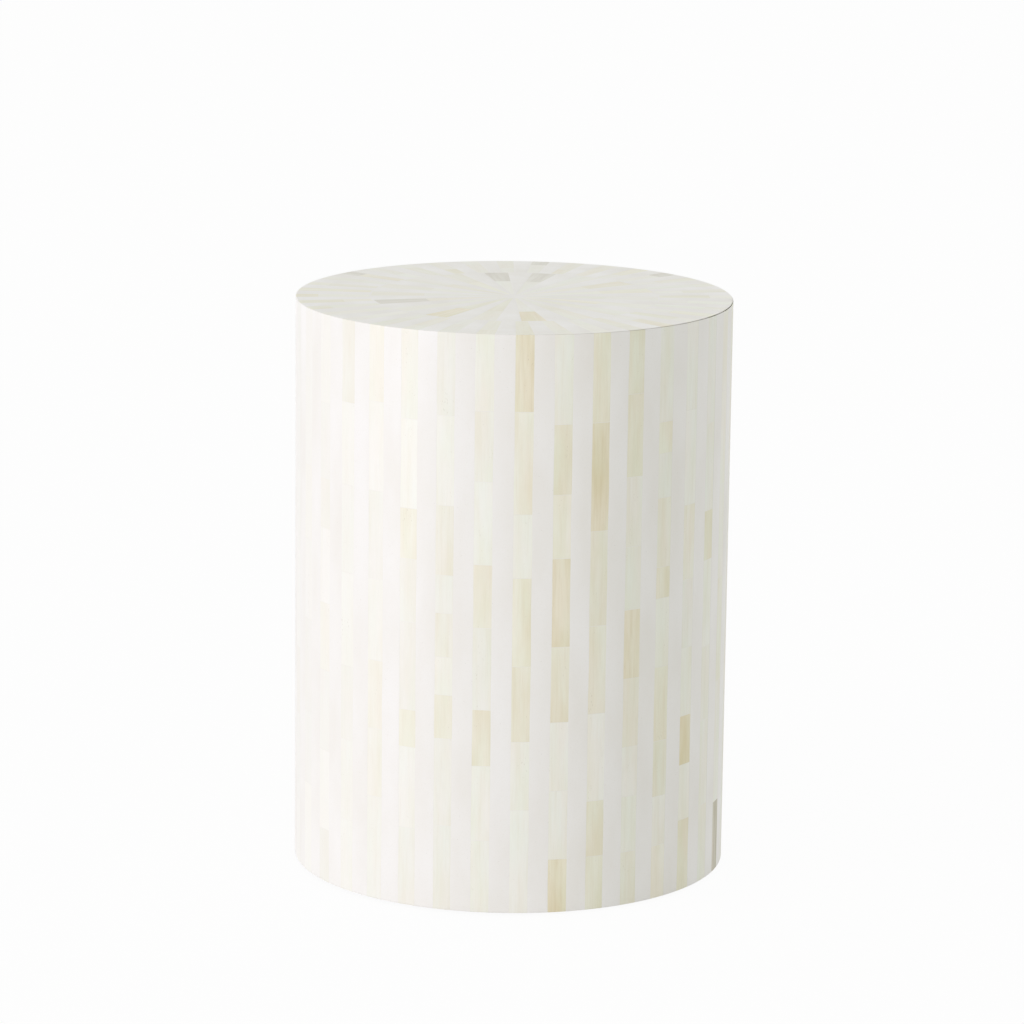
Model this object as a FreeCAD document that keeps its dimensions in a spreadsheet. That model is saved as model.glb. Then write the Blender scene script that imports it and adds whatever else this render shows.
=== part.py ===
import FreeCAD, Part
import Sketcher
import math
import os
import random

# A drum stool: bent skins round a frame of formers and battens, faced with bone slats set in white resin.
# Millimetres and degrees. The origin is on the floor under the middle of the drum, +Z is up and
# the front faces -Y. A direction round the drum is counted from the front towards +X.

SIZES = {
    # the finished drum
    "drum_diameter": 348,
    "stool_height": 460,
    # the inlay: a resin sheet with a thin bed under the bone
    "inlay_thickness": 3.2,
    "bed_thickness": 0.6,
    "rim_seam": 0.4,
    "bone_joint": 0.3,
    # the wall's bone columns
    "column_count": 36,
    "column_start": 2.8,
    "bone_width": 14.4,
    "slat_step": 5,
    "slat_shortest": 38,
    "slat_longest": 88,
    # the seat's sunburst: inner rays, then outer rays that meet the wall's columns
    "ray_count": 18,
    "ray_tip_radius": 10,
    "ray_outer_piece": 42,
    "ray_gap": 1.6,
    "outer_ray_length": 58.4,
    "edge_piece_long": 36,
    "edge_piece_short": 18,
    # the two bent skins
    "skin_thickness": 5,
    "skin_seam": 0.5,
    "glue_line": 0.1,
    # the boards and the frame
    "seat_thickness": 18,
    "base_thickness": 12,
    "former_thickness": 18,
    "former_width": 45,
    "batten_count": 6,
    "batten_width": 32,
    "batten_depth": 20,
    "notch_clearance": 0.2,
    # the feet
    "glide_count": 4,
    "glide_inset": 40.5,
    "glide_diameter": 26,
    "glide_height": 8,
    "glide_projection": 2,
    "glide_recess": 4.5,
    "glide_chamfer": 1.5,
    # the screws, each with the depth that it bites into the second piece
    "screw_shank": 4,
    "screw_head": 8,
    "screw_head_height": 2.6,
    "screw_tip": 3,
    "screw_point": 0.4,
    "head_sink": 0.4,
    "hole_clearance": 0.4,
    "tip_room": 1,
    "drive_length": 4.6,
    "drive_width": 1.1,
    "drive_depth": 1.4,
    "seat_bite": 11,
    "base_bite": 11,
    "batten_bite": 17,
    "glide_bite": 7,
}

# Bone tones, palest first, and how often the bone worker reaches for each of them.
TONES = ["ivory", "cream", "honey", "amber", "smoke"]
TONE_SHARES = [56, 24, 13, 6, 1]
# The seat is laid with the paler tones, apart from the pieces listed below.
SEAT_TONES = TONES[:3]
SEAT_SHARES = TONE_SHARES[:3]

# The slats of the columns that face forward, from the rim down: length in slat steps, and tone.
# Column 0 stands just right of the front, and columns count up towards +X.
FRONT_COLUMNS = {
    -8: [(15, "ivory"), (12, "ivory"), (13, "ivory"), (16, "ivory"), (11, "cream"), (14, "ivory"),
         (11, "ivory")],
    -7: [(11, "ivory"), (14, "ivory"), (12, "cream"), (13, "ivory"), (15, "ivory"), (12, "ivory"),
         (15, "ivory")],
    -6: [(14, "ivory"), (12, "ivory"), (8, "cream"), (12, "ivory"), (11, "cream"), (13, "ivory"),
         (13, "ivory"), (9, "cream")],
    -5: [(13, "cream"), (13, "ivory"), (14, "ivory"), (15, "ivory"), (12, "ivory"), (13, "ivory"),
         (12, "ivory")],
    -4: [(12, "cream"), (14, "ivory"), (14, "ivory"), (13, "ivory"), (11, "cream"), (11, "cream"),
         (17, "ivory")],
    -3: [(14, "ivory"), (14, "ivory"), (8, "honey"), (10, "ivory"), (14, "ivory"), (6, "honey"),
         (13, "ivory"), (13, "ivory")],
    -2: [(13, "ivory"), (14, "ivory"), (11, "cream"), (6, "ivory"), (7, "cream"), (6, "ivory"),
         (7, "cream"), (14, "ivory"), (14, "ivory")],
    -1: [(12, "ivory"), (11, "ivory"), (13, "ivory"), (10, "cream"), (13, "ivory"), (9, "honey"),
         (12, "ivory"), (12, "ivory")],
    0: [(12, "amber"), (16, "cream"), (10, "ivory"), (14, "honey"), (12, "honey"), (11, "ivory"),
        (17, "ivory")],
    1: [(14, "ivory"), (11, "honey"), (10, "cream"), (14, "amber"), (12, "honey"), (11, "ivory"),
        (11, "ivory"), (9, "amber")],
    2: [(14, "honey"), (17, "amber"), (15, "cream"), (14, "cream"), (14, "ivory"), (9, "honey"),
        (9, "honey")],
    3: [(10, "honey"), (13, "honey"), (11, "ivory"), (10, "ivory"), (11, "amber"), (11, "cream"),
        (8, "ivory"), (9, "ivory"), (9, "cream")],
    4: [(15, "ivory"), (5, "honey"), (7, "ivory"), (11, "cream"), (5, "honey"), (11, "ivory"),
        (12, "honey"), (9, "cream"), (8, "ivory"), (9, "cream")],
    5: [(14, "ivory"), (15, "ivory"), (12, "cream"), (11, "ivory"), (11, "ivory"), (8, "amber"),
        (9, "ivory"), (12, "honey")],
    6: [(17, "ivory"), (14, "ivory"), (8, "honey"), (14, "ivory"), (12, "ivory"), (14, "ivory"),
        (13, "ivory")],
    7: [(13, "ivory"), (15, "ivory"), (15, "ivory"), (17, "cream"), (10, "ivory"), (10, "ivory"),
        (12, "smoke")],
}

# The seat pieces that stand out from their neighbours, by ray number.
DARK_INNER_RAYS = {0: "amber", 6: "honey", 8: "smoke", 9: "smoke", 14: "smoke", 16: "amber"}
DARK_OUTER_RAYS = {13: "smoke", 17: "smoke", 23: "smoke"}

UP = FreeCAD.Vector(0, 0, 1)

doc = FreeCAD.newDocument("drum_stool")
sheet = doc.addObject("Spreadsheet::Sheet", "sizes")
for row, (alias, number) in enumerate(SIZES.items(), start=1):
    sheet.set(f"A{row}", alias)
    sheet.set(f"B{row}", str(number))
    sheet.setAlias(f"B{row}", alias)
doc.recompute()

# Distances from the drum's axis, from the finished wall inwards.
WALL_RADIUS = "(sizes.drum_diameter / 2)"
INLAY_BACK = f"({WALL_RADIUS} - sizes.inlay_thickness)"
BONE_BACK = f"({INLAY_BACK} + sizes.bed_thickness)"
OUTER_SKIN_OUTSIDE = f"({INLAY_BACK} - sizes.glue_line)"
OUTER_SKIN_INSIDE = f"({OUTER_SKIN_OUTSIDE} - sizes.skin_thickness)"
INNER_SKIN_OUTSIDE = f"({OUTER_SKIN_INSIDE} - sizes.glue_line)"
INNER_SKIN_INSIDE = f"({INNER_SKIN_OUTSIDE} - sizes.skin_thickness)"
FRAME_RADIUS = f"({INNER_SKIN_INSIDE} - sizes.glue_line)"
BATTEN_BACK = f"({FRAME_RADIUS} - sizes.batten_depth)"
FORMER_BORE = f"({FRAME_RADIUS} - sizes.former_width)"
SCREW_CIRCLE = f"({FRAME_RADIUS} - sizes.former_width / 2)"
GLIDE_CIRCLE = f"({FRAME_RADIUS} - sizes.glide_inset)"
PAST_WALL = f"({WALL_RADIUS} + sizes.inlay_thickness)"
OUTER_RAY_START = f"({WALL_RADIUS} - sizes.outer_ray_length)"
INNER_RAY_END = f"({OUTER_RAY_START} - sizes.ray_gap)"
INNER_RAY_JOINT = f"({INNER_RAY_END} - sizes.ray_outer_piece)"

# Half the width of a ray for each millimetre from the axis.
INNER_SPREAD = "tan(90 deg / sizes.ray_count)"
OUTER_SPREAD = f"(sizes.bone_width / 2 / {WALL_RADIUS})"

# Heights above the floor.
WALL_FOOT = "sizes.glide_projection"
BASE_UNDERSIDE = "sizes.glide_height"
BASE_TOP = "(sizes.glide_height + sizes.base_thickness)"
SEAT_TOP = "sizes.stool_height"
BOARD_TOP = "(sizes.stool_height - sizes.inlay_thickness)"
BOARD_UNDERSIDE = f"({BOARD_TOP} - sizes.seat_thickness)"
FORMER_LEVELS = {
    "lower_former": BASE_TOP,
    "middle_former": f"(({BASE_TOP} + {BOARD_UNDERSIDE} - sizes.former_thickness) / 2)",
    "upper_former": f"({BOARD_UNDERSIDE} - sizes.former_thickness)",
}

# Screw holes, and the turns that set screws, glides and rays between their neighbours.
PILOT_RADIUS = "(sizes.screw_shank / 2)"
HOLE_RADIUS = "((sizes.screw_shank + sizes.hole_clearance) / 2)"
HEAD_HOLE_RADIUS = "((sizes.screw_head + sizes.hole_clearance) / 2)"
HEAD_HOLE_DEPTH = "(sizes.screw_head_height + sizes.head_sink)"
BETWEEN_BATTENS = "(180 / sizes.batten_count)"
FIRST_GLIDE = "(180 / sizes.glide_count)"
BETWEEN_COLUMNS = "(180 / sizes.column_count)"

pieces = []


def value(formula):
    """The number that a formula of sheet sizes comes to."""
    return float(sheet.evalExpression(formula))


def new_body(label, turn=None):
    """An empty body, turned about the drum's axis by a formula if one is given."""
    body = doc.addObject("PartDesign::Body", label)
    body.Label = label
    if turn:
        body.setExpression("Placement.Rotation.Angle", turn)
    pieces.append(body)
    return body


def origin_feature(body, role):
    """One of the body's own origin planes or axes."""
    return next(feature for feature in body.Origin.OriginFeatures if feature.Role == role)


def new_sketch(body, plane, lift, turn=None):
    """A sketch lifted off one of the body's origin planes and turned on it."""
    sketch = body.newObject("Sketcher::SketchObject", f"{body.Label}_sketch")
    sketch.AttachmentSupport = (origin_feature(body, plane), [""])
    sketch.MapMode = "FlatFace"
    sketch.setExpression("AttachmentOffset.Base.z", lift)
    if turn:
        sketch.setExpression("AttachmentOffset.Rotation.Angle", turn)
    return sketch


def tie(sketch, constraint, formula):
    """Adds a dimension to the sketch and binds it to a formula."""
    index = sketch.addConstraint(constraint)
    name = f"size_{index}"
    sketch.renameConstraint(index, name)
    sketch.setExpression(f"Constraints.{name}", formula)


def tie_point(sketch, geometry, point, x, y):
    """Holds a point of the sketch at two formulas from the sketch's origin."""
    tie(sketch, Sketcher.Constraint("DistanceX", -1, 1, geometry, point, value(x)), x)
    tie(sketch, Sketcher.Constraint("DistanceY", -1, 1, geometry, point, value(y)), y)


def circles(body, plane, rounds, lift, turn=None):
    """A sketch of circles, each given as x, y and radius."""
    sketch = new_sketch(body, plane, lift, turn)
    for index, (x, y, radius) in enumerate(rounds):
        centre = FreeCAD.Vector(value(x), value(y), 0)
        sketch.addGeometry(Part.Circle(centre, UP, value(radius)), False)
        tie_point(sketch, index, 3, x, y)
        tie(sketch, Sketcher.Constraint("Radius", index, value(radius)), radius)
    return sketch


def outline(body, plane, corners, lift="0", turn=None, arc=None):
    """A closed sketch through the corners; with an arc, its last side bows out at that radius."""
    sketch = new_sketch(body, plane, lift, turn)
    points = [FreeCAD.Vector(value(x), value(y), 0) for x, y in corners]
    last = len(points) - 1
    sides = last if arc else last + 1
    for index in range(sides):
        start, end = points[index], points[(index + 1) % len(points)]
        sketch.addGeometry(Part.LineSegment(start, end), False)
    for index in range(sides if not arc else sides - 1):
        sketch.addConstraint(Sketcher.Constraint("Coincident", index, 2, (index + 1) % len(points), 1))
    for index, (x, y) in enumerate(corners[:sides]):
        tie_point(sketch, index, 1, x, y)
    if arc:
        tie_point(sketch, sides - 1, 2, *corners[last])
        angles = [math.atan2(point.y, point.x) for point in (points[0], points[last])]
        circle = Part.Circle(FreeCAD.Vector(0, 0, 0), UP, value(arc))
        sketch.addGeometry(Part.ArcOfCircle(circle, *angles), False)
        sketch.addConstraint(Sketcher.Constraint("Coincident", 0, 1, last, 1))
        sketch.addConstraint(Sketcher.Constraint("Coincident", sides - 1, 2, last, 2))
        tie(sketch, Sketcher.Constraint("Radius", last, value(arc)), arc)
    return sketch


def pad(body, sketch, length):
    """Raises the sketch into a solid."""
    feature = body.newObject("PartDesign::Pad", f"{body.Label}_pad")
    feature.Profile = sketch
    feature.setExpression("Length", length)
    doc.recompute()


def turn_solid(body, corners):
    """Turns a half section, given as distance from the axis and height, into a round solid."""
    feature = body.newObject("PartDesign::Revolution", f"{body.Label}_turning")
    feature.Profile = outline(body, "XZ_Plane", corners)
    feature.ReferenceAxis = (feature.Profile[0], ["V_Axis"])
    doc.recompute()


def cut(body, sketch, depth=None, ahead=True, copies=None):
    """Cuts the sketch away, ahead of it or behind it, in as many places round the drum as copies says."""
    before = body.Shape.Volume
    feature = body.newObject("PartDesign::Pocket", f"{body.Label}_cut")
    feature.Profile = sketch
    feature.Reversed = ahead
    if depth:
        feature.setExpression("Length", depth)
    else:
        feature.Type = "ThroughAll"
    doc.recompute()
    if copies:
        pattern = body.newObject("PartDesign::PolarPattern", f"{body.Label}_pattern")
        pattern.Originals = [feature]
        pattern.Axis = (origin_feature(body, "Z_Axis"), [""])
        pattern.setExpression("Occurrences", copies)
        body.Tip = pattern
        doc.recompute()
    if not body.Shape.Volume < before:
        raise RuntimeError(f"a cut in {body.Label} takes nothing away")


def box_corners(half_width, near, far):
    """The corners of a rectangle that faces the front, between two distances from the axis."""
    left, right = f"-{half_width}", half_width
    return [(left, f"-{near}"), (right, f"-{near}"), (right, f"-{far}"), (left, f"-{far}")]


def screw_holes(body, radius, level, depth=None):
    """Upright holes between the battens, up from the level given."""
    sketch = circles(body, "XY_Plane", [("0", f"-{SCREW_CIRCLE}", radius)], level, BETWEEN_BATTENS)
    cut(body, sketch, depth, copies="sizes.batten_count")


def make_boards():
    """The seat board with pilot holes, and the base board with holes for its screws and the glides'."""
    board = new_body("seat_board")
    pad(board, circles(board, "XY_Plane", [("0", "0", FRAME_RADIUS)], BOARD_UNDERSIDE), "sizes.seat_thickness")
    screw_holes(board, PILOT_RADIUS, BOARD_UNDERSIDE, "sizes.seat_bite + sizes.tip_room")

    board = new_body("base_board")
    pad(board, circles(board, "XY_Plane", [("0", "0", FRAME_RADIUS)], BASE_UNDERSIDE), "sizes.base_thickness")
    screw_holes(board, HOLE_RADIUS, BASE_UNDERSIDE)
    screw_holes(board, HEAD_HOLE_RADIUS, BASE_UNDERSIDE, HEAD_HOLE_DEPTH)
    pilot = circles(board, "XY_Plane", [("0", f"-{GLIDE_CIRCLE}", PILOT_RADIUS)], BASE_UNDERSIDE, FIRST_GLIDE)
    cut(board, pilot, "sizes.glide_bite + sizes.tip_room", copies="sizes.glide_count")


def make_formers():
    """Three flat rings, notched for the battens and drilled for the batten screws."""
    notch_half = "(sizes.batten_width / 2 + sizes.notch_clearance)"
    for label, level in FORMER_LEVELS.items():
        former = new_body(label)
        rounds = [("0", "0", FRAME_RADIUS), ("0", "0", FORMER_BORE)]
        pad(former, circles(former, "XY_Plane", rounds, level), "sizes.former_thickness")
        notch = outline(former, "XY_Plane", box_corners(notch_half, BATTEN_BACK, WALL_RADIUS), level)
        cut(former, notch, copies="sizes.batten_count")
        middle = f"({level} + sizes.former_thickness / 2)"
        pilot = circles(former, "XZ_Plane", [("0", middle, PILOT_RADIUS)], "0")
        cut(former, pilot, copies="sizes.batten_count")
        if label == "lower_former":
            screw_holes(former, PILOT_RADIUS, level, "sizes.base_bite + sizes.tip_room")
        if label == "upper_former":
            screw_holes(former, HOLE_RADIUS, level)
            screw_holes(former, HEAD_HOLE_RADIUS, level, HEAD_HOLE_DEPTH)


def make_battens():
    """Uprights in the formers' notches, rounded outside to the skin and drilled at each former."""
    half = "(sizes.batten_width / 2)"
    edge = f"sqrt({FRAME_RADIUS}^2 - {half}^2)"
    section = [(f"-{half}", f"-{edge}"), (f"-{half}", f"-{BATTEN_BACK}"),
               (half, f"-{BATTEN_BACK}"), (half, f"-{edge}")]
    middles = [f"({level} + sizes.former_thickness / 2)" for level in FORMER_LEVELS.values()]
    for number in range(int(value("sizes.batten_count"))):
        batten = new_body(f"batten_{number + 1}", f"360 / sizes.batten_count * {number}")
        pad(batten, outline(batten, "XY_Plane", section, BASE_TOP, arc=FRAME_RADIUS),
            f"{BOARD_UNDERSIDE} - {BASE_TOP}")
        holes = [("0", middle, HOLE_RADIUS) for middle in middles]
        cut(batten, circles(batten, "XZ_Plane", holes, "0"))
        head_holes = [("0", middle, HEAD_HOLE_RADIUS) for middle in middles]
        cut(batten, circles(batten, "XZ_Plane", head_holes, f"{FRAME_RADIUS} - {HEAD_HOLE_DEPTH}"))


def make_skins():
    """Two bent sheets, one round the other, with their butt seams on opposite sides of the drum."""
    for label, outside, inside, seam_turn in (
        ("inner_skin", INNER_SKIN_OUTSIDE, INNER_SKIN_INSIDE, "0"),
        ("outer_skin", OUTER_SKIN_OUTSIDE, OUTER_SKIN_INSIDE, "180"),
    ):
        skin = new_body(label)
        rounds = [("0", "0", outside), ("0", "0", inside)]
        pad(skin, circles(skin, "XY_Plane", rounds, WALL_FOOT), f"{BOARD_TOP} - {WALL_FOOT}")
        near = f"({inside} - sizes.skin_thickness)"
        far = f"({outside} + sizes.skin_thickness)"
        seam = outline(skin, "XY_Plane", box_corners("(sizes.skin_seam / 2)", near, far), WALL_FOOT, seam_turn)
        cut(skin, seam)


def make_glides():
    """Round plastic feet with a recess for the screw head."""
    radius = "(sizes.glide_diameter / 2)"
    section = [(HOLE_RADIUS, "sizes.glide_height"), (HOLE_RADIUS, "sizes.glide_recess"),
               (HEAD_HOLE_RADIUS, "sizes.glide_recess"), (HEAD_HOLE_RADIUS, "0"),
               (f"{radius} - sizes.glide_chamfer", "0"), (radius, "sizes.glide_chamfer"),
               (radius, "sizes.glide_height")]
    for number in range(int(value("sizes.glide_count"))):
        glide = new_body(f"glide_{number + 1}")
        angle = f"(({FIRST_GLIDE} + 360 / sizes.glide_count * {number}) * 1 deg)"
        glide.setExpression("Placement.Base.x", f"{GLIDE_CIRCLE} * sin({angle})")
        glide.setExpression("Placement.Base.y", f"-{GLIDE_CIRCLE} * cos({angle})")
        turn_solid(glide, section)


def make_resin():
    """The white sheets: the wall's, with a channel for each column, and the seat's, with the rays' pockets."""
    wall = new_body("wall_resin", "sizes.column_start")
    turn_solid(wall, [(INLAY_BACK, WALL_FOOT), (WALL_RADIUS, WALL_FOOT), (WALL_RADIUS, SEAT_TOP),
                      (INLAY_BACK, BOARD_TOP)])
    channel = outline(wall, "XY_Plane", box_corners("(sizes.bone_width / 2)", BONE_BACK, PAST_WALL))
    cut(wall, channel, copies="sizes.column_count")

    seat = new_body("seat_resin", "sizes.column_start")
    turn_solid(seat, [("0", BOARD_TOP), (f"{INLAY_BACK} - sizes.rim_seam", BOARD_TOP),
                      (f"{WALL_RADIUS} - sizes.rim_seam", SEAT_TOP), ("0", SEAT_TOP)])
    for near, far, spread, turn, copies in (
        ("sizes.ray_tip_radius", INNER_RAY_END, INNER_SPREAD, BETWEEN_COLUMNS, "sizes.ray_count"),
        (OUTER_RAY_START, PAST_WALL, OUTER_SPREAD, None, "sizes.column_count"),
    ):
        corners = [(f"-{near} * {spread}", f"-{near}"), (f"{near} * {spread}", f"-{near}"),
                   (f"{far} * {spread}", f"-{far}"), (f"-{far} * {spread}", f"-{far}")]
        pocket = outline(seat, "XY_Plane", corners, SEAT_TOP, turn)
        cut(seat, pocket, "sizes.inlay_thickness - sizes.bed_thickness", ahead=False, copies=copies)


def add_group(label, solids):
    """One piece of several separate solids."""
    group = doc.addObject("Part::Feature", label)
    group.Label = label
    group.Shape = Part.makeCompound(solids)
    pieces.append(group)


def screw(length, position, direction):
    """A wood screw with a flat round head and a cross drive, its head's face at the position."""
    head_height = value("sizes.screw_head_height")
    radius = value(PILOT_RADIUS)
    tip_base = FreeCAD.Vector(0, 0, length - value("sizes.screw_tip"))
    shank = Part.makeCylinder(radius, tip_base.z)
    tip = Part.makeCone(radius, value("sizes.screw_point / 2"), value("sizes.screw_tip"), tip_base)
    solid = Part.makeCylinder(value("sizes.screw_head") / 2, head_height).fuse([shank, tip]).removeSplitter()
    slot = [value("sizes.drive_length"), value("sizes.drive_width")]
    for long_side, short_side in (slot, slot[::-1]):
        corner = FreeCAD.Vector(-long_side / 2, -short_side / 2, 0)
        solid = solid.cut(Part.makeBox(long_side, short_side, value("sizes.drive_depth"), corner))
    solid = solid.removeSplitter()
    solid.Placement = FreeCAD.Placement(position, FreeCAD.Rotation(UP, direction))
    return solid


def facing(angle, distance, height):
    """The point at a distance from the axis, in a direction round the drum."""
    return FreeCAD.Vector(distance * math.sin(angle), -distance * math.cos(angle), height)


def around(count, first=0):
    """Even directions round the drum, in radians, from a first one in degrees."""
    return [math.radians(first + 360 / count * number) for number in range(int(count))]


def make_screws():
    """The four groups of screws, in the holes drilled for them."""
    sink = value("sizes.head_sink")
    battens = value("sizes.batten_count")
    former = value("sizes.former_thickness")
    circle = value(SCREW_CIRCLE)
    between = around(battens, value(BETWEEN_BATTENS))

    length = former - sink + value("sizes.seat_bite")
    level = value(FORMER_LEVELS["upper_former"]) + sink
    add_group("seat_screws", [screw(length, facing(angle, circle, level), UP) for angle in between])

    length = value("sizes.base_thickness") - sink + value("sizes.base_bite")
    level = value(BASE_UNDERSIDE) + sink
    add_group("base_screws", [screw(length, facing(angle, circle, level), UP) for angle in between])

    length = value("sizes.batten_depth") - sink + value("sizes.batten_bite")
    heads = value(FRAME_RADIUS) - sink
    add_group("batten_screws", [
        screw(length, facing(angle, heads, value(level) + former / 2), facing(angle, -1, 0))
        for angle in around(battens)
        for level in FORMER_LEVELS.values()
    ])

    level = value("sizes.glide_recess") - value("sizes.screw_head_height")
    length = value("sizes.glide_height") - level + value("sizes.glide_bite")
    add_group("glide_screws", [
        screw(length, facing(angle, value(GLIDE_CIRCLE), level), UP)
        for angle in around(value("sizes.glide_count"), value(FIRST_GLIDE))
    ])


def column_slats(column):
    """The lengths and tones of one column's slats, from the rim down to the wall's foot."""
    listed = list(FRONT_COLUMNS.get(column, []))
    choice = random.Random(f"column {column}")
    shortest, longest = value("sizes.slat_shortest"), value("sizes.slat_longest")
    left = value(SEAT_TOP) - value(WALL_FOOT)
    slats = []
    while left > 0:
        if listed:
            steps, tone = listed.pop(0)
            length = steps * value("sizes.slat_step")
        else:
            length = choice.uniform(shortest, longest)
            tone = choice.choices(TONES, TONE_SHARES)[0]
        if left - length < shortest / 2:
            length = left
            # however low the wall is, the slat at its foot has the tone listed for the foot
            tone = listed[-1][1] if listed else tone
        slats.append((length, tone))
        left -= length
    return slats


def slat_section():
    """A slat's end: flat behind and at its sides, rounded to the drum in front."""
    half, radius, back = value("sizes.bone_width / 2"), value(WALL_RADIUS), value(BONE_BACK)
    edge = math.sqrt(radius**2 - half**2)
    corners = [FreeCAD.Vector(x, -y, 0) for x, y in ((-half, edge), (-half, back), (half, back), (half, edge))]
    sides = [Part.LineSegment(start, end).toShape() for start, end in zip(corners, corners[1:])]
    front = Part.Arc(corners[3], FreeCAD.Vector(0, -radius, 0), corners[0]).toShape()
    return Part.Face(Part.Wire(sides + [front]))


def make_wall_bone():
    """The bone columns, one group of slats for each tone, mitred at the rim."""
    section = slat_section()
    joint, foot = value("sizes.bone_joint"), value(WALL_FOOT)
    rim = Part.makeCone(value(INLAY_BACK), value(WALL_RADIUS), value("sizes.inlay_thickness"),
                        FreeCAD.Vector(0, 0, value(BOARD_TOP)))
    count = int(value("sizes.column_count"))
    slats = {tone: [] for tone in TONES}
    for number, angle in enumerate(around(count, value("sizes.column_start"))):
        column = number if number < count / 2 else number - count
        top = value(SEAT_TOP)
        for order, (length, tone) in enumerate(column_slats(column)):
            bottom = max(top - length, foot)
            lift = joint if bottom > foot else 0
            slat = section.extrude(FreeCAD.Vector(0, 0, top - bottom - lift))
            slat.translate(FreeCAD.Vector(0, 0, bottom + lift))
            slat.rotate(FreeCAD.Vector(0, 0, 0), UP, math.degrees(angle))
            slats[tone].append(slat.cut(rim).Solids[0] if order == 0 else slat)
            top = bottom
    for tone in TONES:
        add_group(f"wall_bone_{tone}", slats[tone])


def ray_piece(near, far, spread, angle):
    """A flat piece of a ray that widens outwards, between two distances from the axis."""
    corners = [(-near * spread, -near), (near * spread, -near), (far * spread, -far), (-far * spread, -far)]
    level = value(BOARD_TOP) + value("sizes.bed_thickness")
    points = [FreeCAD.Vector(x, y, level) for x, y in corners]
    piece = Part.Face(Part.makePolygon(points + points[:1])).extrude(UP * (value(SEAT_TOP) - level))
    piece.rotate(FreeCAD.Vector(0, 0, 0), UP, math.degrees(angle))
    return piece


def make_seat_bone():
    """The sunburst: two pieces to each inner ray and two to each outer ray, grouped by tone."""
    joint = value("sizes.bone_joint")
    start = value("sizes.column_start")
    choice = random.Random("seat")
    rays = {tone: [] for tone in TONES}

    tip, middle, end = value("sizes.ray_tip_radius"), value(INNER_RAY_JOINT), value(INNER_RAY_END)
    spread = value(INNER_SPREAD)
    for number, angle in enumerate(around(value("sizes.ray_count"), start + value(BETWEEN_COLUMNS))):
        plain = choice.choices(SEAT_TONES, SEAT_SHARES, k=2)
        rays[plain[0]].append(ray_piece(tip, middle - joint, spread, angle))
        rays[DARK_INNER_RAYS.get(number, plain[1])].append(ray_piece(middle, end, spread, angle))

    spread = value(OUTER_SPREAD)
    seam = value("sizes.rim_seam")
    rim = Part.makeCone(value(INLAY_BACK) - seam, value(WALL_RADIUS) - seam, value("sizes.inlay_thickness"),
                        FreeCAD.Vector(0, 0, value(BOARD_TOP)))
    edge_lengths = [value("sizes.edge_piece_long"), value("sizes.edge_piece_short")]
    for number, angle in enumerate(around(value("sizes.column_count"), start)):
        plain = choice.choices(SEAT_TONES, SEAT_SHARES, k=2)
        middle = value(WALL_RADIUS) - edge_lengths[number % len(edge_lengths)]
        rays[plain[0]].append(ray_piece(value(OUTER_RAY_START), middle - joint, spread, angle))
        edge_piece = ray_piece(middle, value(PAST_WALL), spread, angle).common(rim)
        rays[DARK_OUTER_RAYS.get(number, plain[1])].append(edge_piece.Solids[0])
    for tone in TONES:
        add_group(f"seat_bone_{tone}", rays[tone])


def check_model():
    """Stops before anything is written if a feature failed or a piece has no sound solid."""
    doc.recompute()
    for item in doc.Objects:
        if {"Invalid", "Error"} & set(item.State):
            raise RuntimeError(f"{item.Label} failed: {item.State}")
    for piece in pieces:
        if piece.Shape.isNull() or not piece.Shape.isValid() or not piece.Shape.Solids:
            raise RuntimeError(f"{piece.Label} has no sound solid")


make_boards()
make_formers()
make_battens()
make_skins()
make_glides()
make_resin()
make_screws()
make_wall_bone()
make_seat_bone()
check_model()

os.makedirs("parts", exist_ok=True)
for piece in pieces:
    piece.Shape.exportStep(f"parts/{piece.Label}.step")
    print(f"{piece.Label}: {len(piece.Shape.Solids)} solids, {piece.Shape.Volume / 1000:.1f} cm3")
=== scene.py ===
import math
import random
from collections import namedtuple

import bmesh
import bpy
from mathutils import Matrix, Vector, noise


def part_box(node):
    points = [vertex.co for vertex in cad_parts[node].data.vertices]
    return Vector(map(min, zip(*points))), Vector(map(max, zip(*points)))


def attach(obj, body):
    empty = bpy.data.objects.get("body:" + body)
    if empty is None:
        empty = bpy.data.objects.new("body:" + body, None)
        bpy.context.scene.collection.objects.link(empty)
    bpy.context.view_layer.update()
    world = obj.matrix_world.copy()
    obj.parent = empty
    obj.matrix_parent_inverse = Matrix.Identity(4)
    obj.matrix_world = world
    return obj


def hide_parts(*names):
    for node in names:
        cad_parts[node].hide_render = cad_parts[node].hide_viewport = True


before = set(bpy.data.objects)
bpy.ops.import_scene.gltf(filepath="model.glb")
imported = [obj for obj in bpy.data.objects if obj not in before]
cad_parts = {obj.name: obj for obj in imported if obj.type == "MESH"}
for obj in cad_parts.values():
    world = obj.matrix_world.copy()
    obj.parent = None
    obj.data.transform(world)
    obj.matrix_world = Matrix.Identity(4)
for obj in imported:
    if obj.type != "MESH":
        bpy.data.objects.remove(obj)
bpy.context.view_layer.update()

MM = 0.001
TONES = ("ivory", "cream", "honey", "amber", "smoke")

# Sanded edges: the round along every inlay piece, and the larger one along the rim of the drum.
EDGE_ROUND = 0.25 * MM
EDGE_REACH = 0.15 * MM
RIM_ROUND = 0.6 * MM
RIM_REACH = RIM_ROUND * math.sin(math.radians(45))
FOOT_ROUND = 0.5 * MM

# Hand work: how far pieces sit below the sanded face, how far the face itself is out of true,
# how far sawn sides stray (each column and side in its own way), and how far the joint fill sinks.
LEVEL_SPREAD = 0.04 * MM
FACE_WAVE = 0.05 * MM
FACE_WAVE_LENGTH = 60 * MM
SIDE_WAVE = 0.45 * MM
SIDE_WAVE_LENGTH = 45 * MM
COLUMNS_APART = 20
SIDES_APART = 5
JOINT_SINK = 0.03 * MM

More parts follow.
